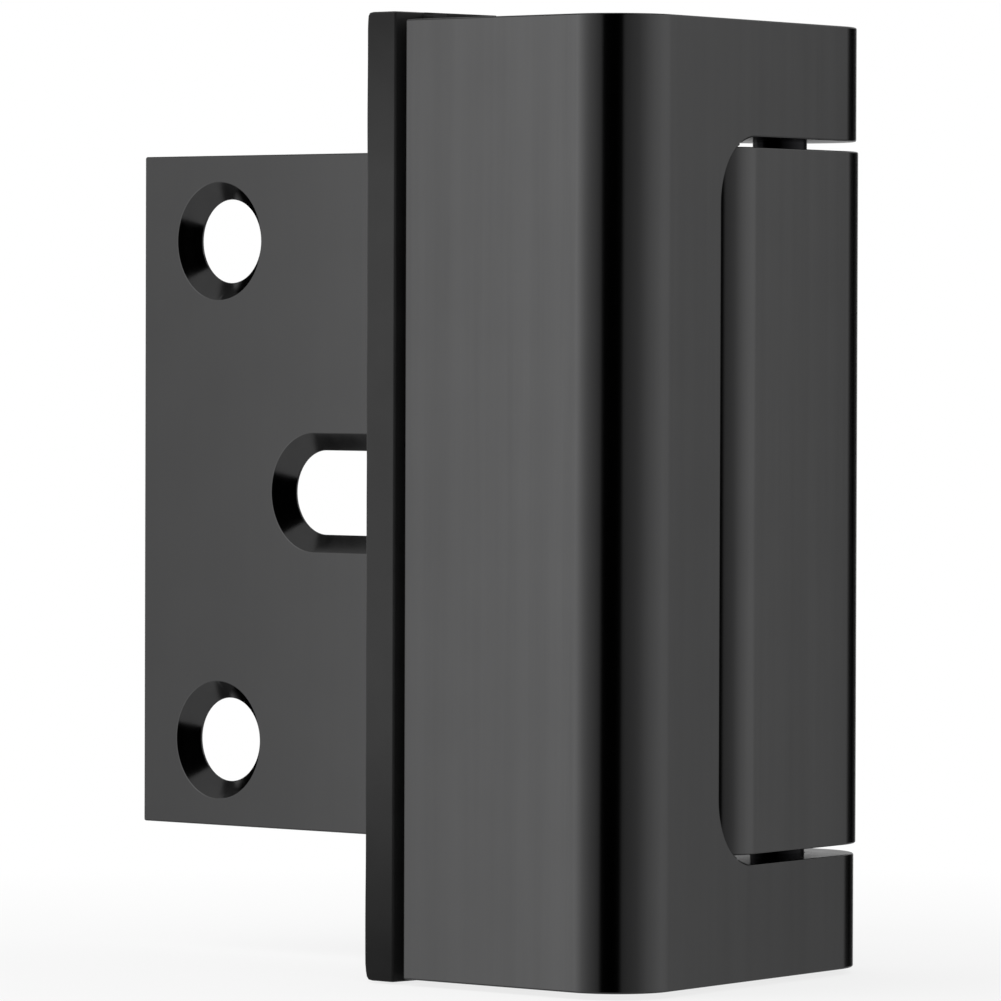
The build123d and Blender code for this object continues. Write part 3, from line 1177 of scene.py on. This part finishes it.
@dataclass
class BumperStrip(NodePart):
    """Soft strip: a flat head towards the door, a neck, and a rib held in the T groove.

    The turns of its two slight waves are in radians per metre of height.
    """

    node: str = "bumper_strip"
    head_thickness: float = 0.0032
    head_radius: float = 0.0002
    neck_width: float = 0.0032
    rib_thickness: float = 0.0014
    rib_width: float = 0.0058
    rib_trim: float = 0.00022
    end_round: float = 0.00025
    top_pinch: float = 0.00012
    bottom_pinch: float = 0.00028
    pinch_length: float = 0.0016
    waver: float = 0.00003
    slow_wave_turn: float = 170
    quick_wave_turn: float = 430
    quick_wave_start: float = 1
    slid_up: float = 0.00018
    section_count: int = 48

    def outline(self, inset: float, pinch: float) -> list[Vector]:
        """Outline of the strip at one height.

        Args:
            inset: How much every side stands back.
            pinch: How much further the side that meets the door stands back.

        Returns:
            Points all the way round.
        """
        middle = (self.low.y + self.high.y) / 2
        face_x = self.low.x + inset + pinch
        back_x = self.low.x + self.head_thickness - inset
        rib_x = self.high.x - self.rib_thickness + inset
        half_head = (self.high.y - self.low.y) / 2 - inset
        half_neck, half_rib = self.neck_width / 2 - inset, self.rib_width / 2 - inset
        half = [
            (face_x, half_head, self.head_radius),
            (back_x, half_head, self.head_radius),
            (back_x, half_neck, 0),
            (rib_x, half_neck, 0),
            (rib_x, half_rib, 0),
            (self.high.x - inset, half_rib, 0),
        ]
        other_half = [(x, -y, radius) for x, y, radius in reversed(half)]
        return rounded_outline([Corner(x, middle + y, radius) for x, y, radius in half + other_half])

    def pinch_at(self, height: float) -> float:
        """How far the shears pinched the strip in near its ends, and its slight waver.

        Args:
            height: Height above the middle of the strip.

        Returns:
            How far the side that meets the door stands back there.
        """
        to_top = max(0.0, 1 - (self.high.z - height) / self.pinch_length)
        to_bottom = max(0.0, 1 - (height - self.low.z) / self.pinch_length)
        slow_wave = sin(height * self.slow_wave_turn)
        quick_wave = sin(height * self.quick_wave_turn + self.quick_wave_start)
        stand_back = self.waver * (1 + slow_wave * quick_wave)
        return stand_back + self.top_pinch * to_top**2 + self.bottom_pinch * to_bottom**2

    def heights(self) -> list[float]:
        """Heights of the sections.

        Returns:
            Heights from the lowest up, close together near the two ends.
        """
        length = self.high.z - self.low.z
        middle = (self.high.z + self.low.z) / 2
        turns = (pi * i / self.section_count for i in range(self.section_count + 1))
        return [middle - length / 2 * cos(turn) for turn in turns]

    def sections(self) -> list[Section]:
        """Outlines of the strip with their heights, rounded in at both ends.

        Returns:
            The sections from the lowest up.
        """
        sections = []
        for height in self.heights():
            from_end = min(height - self.low.z, self.high.z - height)
            round_share = max(0.0, 1 - from_end / self.end_round)
            inset = self.end_round * (1 - (1 - round_share**2) ** 0.5)
            sections.append((self.outline(inset, self.pinch_at(height)), height + self.slid_up))
        return sections

    def rib_trimmer(self, side: Side) -> bpy.types.Object:
        """Cutter that takes the rib and the neck back a little at one end of the strip.

        Args:
            side: The end of the strip.

        Returns:
            The cutter.
        """
        near, far = self.low.x + self.head_thickness, self.high.x + OVERCUT
        front, back = self.low.y, self.high.y
        outline = [Vector(corner) for corner in ((near, front), (far, front), (far, back), (near, back))]
        tip = (self.high.z if side is Side.UPPER else self.low.z) + self.slid_up
        ends = [tip - side.value * self.rib_trim, tip + side.value * OVERCUT]
        return loft(f"rib_trimmer_{side.name}", [(outline, end) for end in ends])

    def build(self) -> list[bpy.types.Object]:
        """Builds the strip.

        Returns:
            The one piece.
        """
        piece = loft("bumper_profile", self.sections())
        cut(piece, [self.rib_trimmer(side) for side in Side])
        smooth(piece)
        return [fit(piece, BLACK_VINYL, "stop", self.node)]


@dataclass
class HingePin(NodePart):
    """The pin, fast in both ears, with a groove for each friction plug."""

    pivot: Pivot
    node: str = "hinge_pin"
    end_chamfer: float = 0.0003
    groove_radius: float = 0.00185
    groove_height: float = 0.012
    groove_width: float = 0.0022
    broken_edge: float = 0.00006

    def build(self) -> list[bpy.types.Object]:
        """Turns the pin.

        Returns:
            The one piece.
        """
        radius = (self.high.x - self.low.x) / 2
        groove_low = self.groove_height - self.groove_width / 2
        groove_high = self.groove_height + self.groove_width / 2
        upper = [
            (radius, groove_low),
            (self.groove_radius, groove_low),
            (self.groove_radius, groove_high),
            (radius, groove_high),
            (radius, self.high.z - self.end_chamfer),
            (radius - self.end_chamfer, self.high.z),
        ]
        whole = [(reach, -height) for reach, height in reversed(upper)] + upper
        sections = [(circle(reach, self.pivot.centre), height) for reach, height in whole]
        piece = loft("turned_pin", sections)
        break_edges(piece, self.broken_edge)
        smooth(piece)
        # the pin gets the darker copy of the blackened steel, which is painted shade
        return [fit(piece, SHADED_BLACKENED_STEEL_PIN, "stop", self.node)]


@dataclass
class Bush(NodePart):
    """Plain bush in one end of the knuckle."""

    pivot: Pivot
    side: Side
    bore_radius: float = 0.00225
    broken_edge: float = 0.0001

    @property
    def node(self) -> str:
        """Name of the bush's node."""
        return f"{self.side.name.lower()}_bush"

    def build(self) -> list[bpy.types.Object]:
        """Turns the bush.

        Returns:
            The one piece.
        """
        bottom, top = self.low.z, self.high.z
        radius = (self.high.x - self.low.x) / 2
        profile = [(self.bore_radius, bottom), (radius, bottom), (radius, top), (self.bore_radius, top)]
        piece = turned_ring(f"{self.node}_turned", profile, self.pivot.centre, Facing.UP)
        break_edges(piece, self.broken_edge)
        smooth(piece)
        return [fit(piece, ACETAL, "leaf", self.node)]


@dataclass
class FrictionStack:
    """A set screw, disc springs and a plug, in one cross bore of the knuckle."""

    pivot: Pivot
    side: Side
    bore_height: float = 0.012
    thread_pitch: float = 0.0008
    thread_depth: float = 0.00032
    thread_rows: int = 12
    flank_steepness: float = 1.6
    screw_chamfer: float = 0.0004
    socket_across: float = 0.0026
    socket_depth: float = 0.002
    socket_sides: int = 6
    disc_hole_radius: float = 0.00125
    disc_thickness: float = 0.0004
    disc_broken_edge: float = 0.00006
    nose_radius: float = 0.001
    plug_back_off: float = 0.0004
    plug_broken_edge: float = 0.00012
    pin_radius: float = 0.0022

    @property
    def centre(self) -> tuple[float, float]:
        """Where the bore's axis stands, as x and height."""
        return self.pivot.centre.x, self.side.value * self.bore_height

    def node(self, kind: str) -> str:
        """Name of one of this stack's nodes."""
        return f"{self.side.name.lower()}_{kind}"

    def threaded_outline(self, depth: float, length: float, radius: float) -> list[Vector]:
        """Outline across the set screw's thread.

        Args:
            depth: How far behind the screw's front.
            length: Length of the screw.
            radius: Radius of the thread's crests.

        Returns:
            Points all the way round.
        """
        chamfered = radius - self.screw_chamfer + min(depth, length - depth)
        points = []
        for spoke in circle(1.0):
            phase = (depth / self.thread_pitch + atan2(spoke.y, spoke.x) / tau) % 1
            sunk = min(1.0, self.flank_steepness * abs(2 * phase - 1))
            reach = min(radius - self.thread_depth * sunk, chamfered)
            points.append(Vector(self.centre) + spoke * reach)
        return points

    def set_screw(self) -> bpy.types.Object:
        """Threaded set screw with its hexagon socket.

        Returns:
            The piece.
        """
        low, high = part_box(self.node("set_screw"))
        length, radius = high.y - low.y, (high.x - low.x) / 2
        steps = ceil(length / self.thread_pitch * self.thread_rows)
        depths = [length * i / steps for i in range(steps + 1)]
        sections = [(self.threaded_outline(depth, length, radius), -low.y - depth) for depth in depths]
        piece = loft(self.node("threaded_screw"), sections, Facing.FRONT)
        corner_radius = self.socket_across / 2 / cos(pi / self.socket_sides)
        hexagon = circle(corner_radius, self.centre, self.socket_sides)
        ends = [(hexagon, -low.y - self.socket_depth), (hexagon, OVERCUT - low.y)]
        cut(piece, [loft("socket", ends, Facing.FRONT)])
        smooth(piece)
        return fit(piece, BLACKENED_STEEL_SCREW, "leaf", self.node("set_screw"))

    def disc(self, number: int) -> bpy.types.Object:
        """One conical disc; odd ones have their hole nearer the set screw.

        Args:
            number: Its place in the stack, counted from the set screw.

        Returns:
            The piece.
        """
        name = self.node(f"disc_spring_{number}")
        low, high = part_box(name)
        radius = (high.x - low.x) / 2
        hole_y, rim_y = low.y, high.y - self.disc_thickness
        if number % 2 == 0:
            hole_y, rim_y = rim_y, hole_y
        profile = [
            (self.disc_hole_radius, -hole_y),
            (radius, -rim_y),
            (radius, -rim_y - self.disc_thickness),
            (self.disc_hole_radius, -hole_y - self.disc_thickness),
        ]
        piece = turned_ring(self.node(f"disc_{number}"), profile, self.centre, Facing.FRONT)
        break_edges(piece, self.disc_broken_edge)
        smooth(piece)
        return fit(piece, SPRING_STEEL, "leaf", name)

    def plug(self) -> bpy.types.Object:
        """The plug, with the nose that rides in the pin's groove.

        Returns:
            The piece.
        """
        low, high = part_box(self.node("friction_plug"))
        radius = (high.x - low.x) / 2
        shoulder_y = self.pivot.centre.y - self.pin_radius - self.plug_back_off
        shank, nose = circle(radius, self.centre), circle(self.nose_radius, self.centre)
        sections = [(shank, -low.y), (shank, -shoulder_y), (nose, -shoulder_y), (nose, -high.y)]
        piece = loft(self.node("plug"), sections, Facing.FRONT)
        break_edges(piece, self.plug_broken_edge)
        smooth(piece)
        return fit(piece, ACETAL, "leaf", self.node("friction_plug"))

    def build(self) -> list[bpy.types.Object]:
        """Builds the whole stack.

        Returns:
            The set screw, the discs in order, and the plug.
        """
        prefix = self.node("disc_spring_")
        count = sum(name.startswith(prefix) for name in frame["nodes"])
        return [self.set_screw(), *(self.disc(i + 1) for i in range(count)), self.plug()]


@dataclass
class Studio:
    """Floor, soft light, and a round tent of soft boxes and flags that only reflections see.

    Bearings are in degrees from the camera, positive to its right, and a brightness of 1 is
    white.  The wall holds its brightness at each bearing.  The fill lies above and below the
    wall's dark band behind the latch, the flag on the upper sheet, and the card behind the leaf.
    """

    middle: Vector
    floor_z: float
    camera_turn: float = radians(43.25)
    tent_radius: float = 0.3
    tent_half_height: float = 0.19
    tent_step_degrees: float = 0.5
    tent_rise: float = 0.25
    fill_brightness: float = 0.4
    fill_start_degrees: float = 125
    fill_end_degrees: float = 190
    band_half_height: float = 0.066
    band_edge: float = 0.02
    sheet_brightness: float = 0.32
    flag_start_degrees: float = -49
    flag_end_degrees: float = 40
    card_left: float = -0.07
    card_right: float = 0.032
    card_y: float = 0.065
    card_half_height: float = 0.07
    card_brightness: float = 0.4
    floor_radius: float = 3.0
    floor_corners: int = 72
    shadow_radius: float = 0.16
    floor_colour: Colour = (0.86, 0.86, 0.86, 1)
    shadowless_share: float = 0.8
    ambient: float = 0.7
    lamp_power: float = 2.6
    lamp_size: float = 0.7
    lamp_place: Vector = field(default_factory=lambda: Vector((-0.25, -0.45, 0.75)))
    wall: Sequence[tuple[float, float]] = (
        (-180, 0.0),
        (-150, 0.0),
        (-142, 0.4),
        (-128, 0.62),
        (-110, 0.46),
        (-101, 0.48),
        (-96, 0.57),
        (-91, 0.9),
        (-87, 1.0),
        (-84, 1.13),
        (-77, 0.9),
        (-64, 0.54),
        (-52, 0.36),
        (-40, 0.24),
        (-32, 0.18),
        (-29, 0.0),
        (8, 0.0),
        (11, 0.16),
        (28, 0.2),
        (40, 0.24),
        (52, 0.35),
        (64, 0.46),
        (78, 0.54),
        (93, 0.61),
        (108, 0.59),
        (114, 0.48),
        (117, 0.45),
        (120.5, 0.45),
        (125, 0.19),
        (128.5, 0.02),
        (142, 0.0),
        (149, 0.035),
        (159, 0.04),
        (163, 0.0),
        (180, 0.0),
    )

    def wall_brightness_at(self, bearing: float, height: float) -> float:
        """Brightness of the wall, straight between two bearings and with its fill light.

        Args:
            bearing: The bearing in degrees.
            height: Height above the middle of the tent.

        Returns:
            The brightness.
        """
        stretches = zip(self.wall, self.wall[1:])
        (start, first), (end, last) = next(pair for pair in stretches if bearing <= pair[1][0])
        brightness = first + (last - first) * (bearing - start) / (end - start)
        past_band = min(1.0, max(0.0, (abs(height) - self.band_half_height) / self.band_edge))
        if self.fill_start_degrees < bearing % 360 < self.fill_end_degrees:
            brightness += past_band * max(0.0, self.fill_brightness - brightness)
        return brightness * (1 + self.tent_rise * height / self.tent_half_height)

    def sheet_brightness_at(self, side: Side, bearing: float) -> float:
        """Brightness of a sheet, where a dark flag lies across part of the upper one."""
        flagged = self.flag_start_degrees < bearing < self.flag_end_degrees
        return 0.0 if flagged and side is Side.UPPER else self.sheet_brightness

    def spot(self, bearing: float, height: float) -> Vector:
        """Point of the tent's wall.

        Args:
            bearing: Its bearing in degrees.
            height: Its height.

        Returns:
            The point.
        """
        turn = self.camera_turn + radians(bearing)
        x = self.middle.x + self.tent_radius * sin(turn)
        y = self.middle.y - self.tent_radius * cos(turn)
        return Vector((x, y, height))

    def glow(self, board: NodeBoard) -> bpy.types.NodeSocket:
        """Wires a glow with the brightness that is in the mesh."""
        brightness = board.add("ShaderNodeAttribute", attribute_name="brightness").outputs["Fac"]
        return board.add("ShaderNodeEmission", {"Strength": brightness}).outputs[0]

    def hang(self, name: str, shape: bmesh.types.BMesh) -> None:
        """Puts up a part of the tent, which only reflections see.

        Args:
            name: Name of the new object.
            shape: Its mesh, which is freed.
        """
        part = new_piece(name, shape)
        part.data.materials.append(new_material("tent_glow", self.glow))
        for rays in ("camera", "diffuse", "shadow", "transmission", "volume_scatter"):
            setattr(part, f"visible_{rays}", False)

    def tent_wall(self) -> None:
        """Hangs the round wall, with its brightness in the mesh."""
        shape = bmesh.new()
        glow = shape.verts.layers.float.new("brightness")
        count = round(360 / self.tent_step_degrees)
        upper = [self.band_half_height, self.band_half_height + self.band_edge, self.tent_half_height]
        heights = [-height for height in reversed(upper)] + upper
        columns = []
        for i in range(count + 1):
            bearing = self.tent_step_degrees * i - 180
            column = [shape.verts.new(self.spot(bearing, height)) for height in heights]
            for height, vertex in zip(heights, column):
                vertex[glow] = self.wall_brightness_at(bearing, height)
            columns.append(column)
        for left, right in zip(columns, columns[1:]):
            for i in range(len(heights) - 1):
                shape.faces.new((left[i], left[i + 1], right[i + 1], right[i]))
        self.hang("tent_wall", shape)

    def tent_sheets(self) -> None:
        """Hangs the round sheets that close the tent above and below."""
        for side in Side:
            shape = bmesh.new()
            glow = shape.faces.layers.float.new("brightness")
            height = side.value * self.tent_half_height
            hub = shape.verts.new((self.middle.x, self.middle.y, height))
            bearings = range(-180, 180)
            rim = [shape.verts.new(self.spot(bearing, height)) for bearing in bearings]
            for i, bearing in enumerate(bearings):
                face = shape.faces.new((hub, rim[i - 1], rim[i]))
                face[glow] = self.sheet_brightness_at(side, bearing)
            self.hang(f"tent_sheet_{side.name.lower()}", shape)

    def back_card(self) -> None:
        """Hangs the card that lights the back of the leaf and nothing that faces the camera."""
        shape = bmesh.new()
        glow = shape.faces.layers.float.new("brightness")
        left, right, top = self.card_left, self.card_right, self.card_half_height
        corners = ((left, -top), (right, -top), (right, top), (left, top))
        card = shape.faces.new([shape.verts.new((x, self.card_y, z)) for x, z in corners])
        card[glow] = self.card_brightness
        self.hang("back_card", shape)

    def floor_surface(self, board: NodeBoard) -> bpy.types.NodeSocket:
        """Wires a pale floor that turns white away from the object.

        Args:
            board: The board of the floor's material.

        Returns:
            The surface.
        """
        place = {0: board.place()}
        distance = board.add("ShaderNodeVectorMath", place, operation="LENGTH").outputs["Value"]
        ends = (self.shadow_radius / 2, self.shadow_radius)
        share = board.remap(distance, *ends, self.shadowless_share)
        white_share = board.math("MULTIPLY", share, board.sees_backdrop())
        pale = board.add("ShaderNodeBsdfDiffuse", {"Color": self.floor_colour}).outputs[0]
        white = board.add("ShaderNodeEmission", {"Strength": 1.0}).outputs[0]
        return board.add("ShaderNodeMixShader", {0: white_share, 1: pale, 2: white}).outputs[0]

    def floor(self) -> None:
        """Lays the floor, with the object's shadow near its middle."""
        shape = bmesh.new()
        rim = circle(self.floor_radius, steps=self.floor_corners)
        shape.faces.new([shape.verts.new((point.x, point.y, 0)) for point in rim])
        floor = new_piece("floor", shape)
        floor.data.materials.append(new_material("pale_floor", self.floor_surface))
        floor.location = (self.middle.x, self.middle.y, self.floor_z)
        floor.visible_glossy = False

    def light(self) -> None:
        """Sets the white world and one soft lamp above, to the front and left."""
        world = bpy.data.worlds.new("studio")
        world.use_nodes = True
        world.node_tree.nodes.clear()
        board = NodeBoard(world.node_tree)
        strength = board.remap(board.sees_backdrop(), 0.0, 1.0, self.ambient)
        surround = board.add("ShaderNodeBackground", {"Color": (1, 1, 1, 1), "Strength": strength})
        board.add("ShaderNodeOutputWorld", {"Surface": surround.outputs[0]})
        bpy.context.scene.world = world
        lamp = bpy.data.lights.new("soft_lamp", "AREA")
        lamp.energy = self.lamp_power
        lamp.size = self.lamp_size
        stand = bpy.data.objects.new("soft_lamp", lamp)
        stand.location = self.lamp_place
        stand.rotation_euler = (self.middle - self.lamp_place).to_track_quat("-Z", "Y").to_euler()
        stand.visible_glossy = False
        bpy.context.scene.collection.objects.link(stand)

    def build(self) -> None:
        """Sets up the whole studio."""
        self.tent_wall()
        self.tent_sheets()
        self.back_card()
        self.floor()
        self.light()


@dataclass(frozen=True)
class PhotoCamera:
    """The photograph's camera, as found by fitting its edges and hole rims."""

    place: tuple[float, float, float] = (0.4738, -0.471, 0.01284)
    bearing_degrees: float = 43.25
    pitch_degrees: float = 1.168
    roll_degrees: float = 0.185
    focal_pixels: float = 7955
    image_pixels: float = 1001
    sensor_width: float = 36
    nearest: float = 0.01
    farthest: float = 20

    def build(self) -> None:
        """Adds the camera and makes it the scene's own."""
        camera = bpy.data.cameras.new("photo_camera")
        camera.sensor_width = self.sensor_width
        camera.lens = self.sensor_width * self.focal_pixels / self.image_pixels
        camera.clip_start = self.nearest
        camera.clip_end = self.farthest
        stand = bpy.data.objects.new("photo_camera", camera)
        turn = Matrix.Rotation(radians(self.bearing_degrees), 4, "Z")
        tilt = Matrix.Rotation(radians(90 - self.pitch_degrees), 4, "X")
        roll = Matrix.Rotation(radians(self.roll_degrees), 4, "Z")
        stand.matrix_world = Matrix.Translation(self.place) @ turn @ tilt @ roll
        bpy.context.scene.collection.objects.link(stand)
        bpy.context.scene.camera = stand


def main() -> None:
    """Builds every piece round the frame, then the studio and the camera."""
    logging.basicConfig(level=logging.INFO, format="%(name)s: %(message)s")
    centre = Vector(frame["joints"][0]["pos_m"])
    stop_low, stop_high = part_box("stop_body")
    pivot = Pivot(centre, end_radius=stop_high.y - centre.y)
    leaf = HingeLeaf(pivot)
    hardware = [kind(pivot, side) for kind in (Bush, FrictionStack) for side in Side]
    for sub_assembly in (leaf, StopBody(pivot, leaf), BumperStrip(), HingePin(pivot), *hardware):
        for piece in sub_assembly.build():
            log.info("%s: %d faces", piece.name, len(piece.data.polygons))
    near_corner = Vector((pivot.outer_x(stop_low.y), stop_low.y, 0))
    Studio(near_corner, floor_z=cad_bounds[0].z).build()
    PhotoCamera().build()
    bpy.context.scene.view_settings.view_transform = "Standard"


if __name__ == "__main__":
    main()
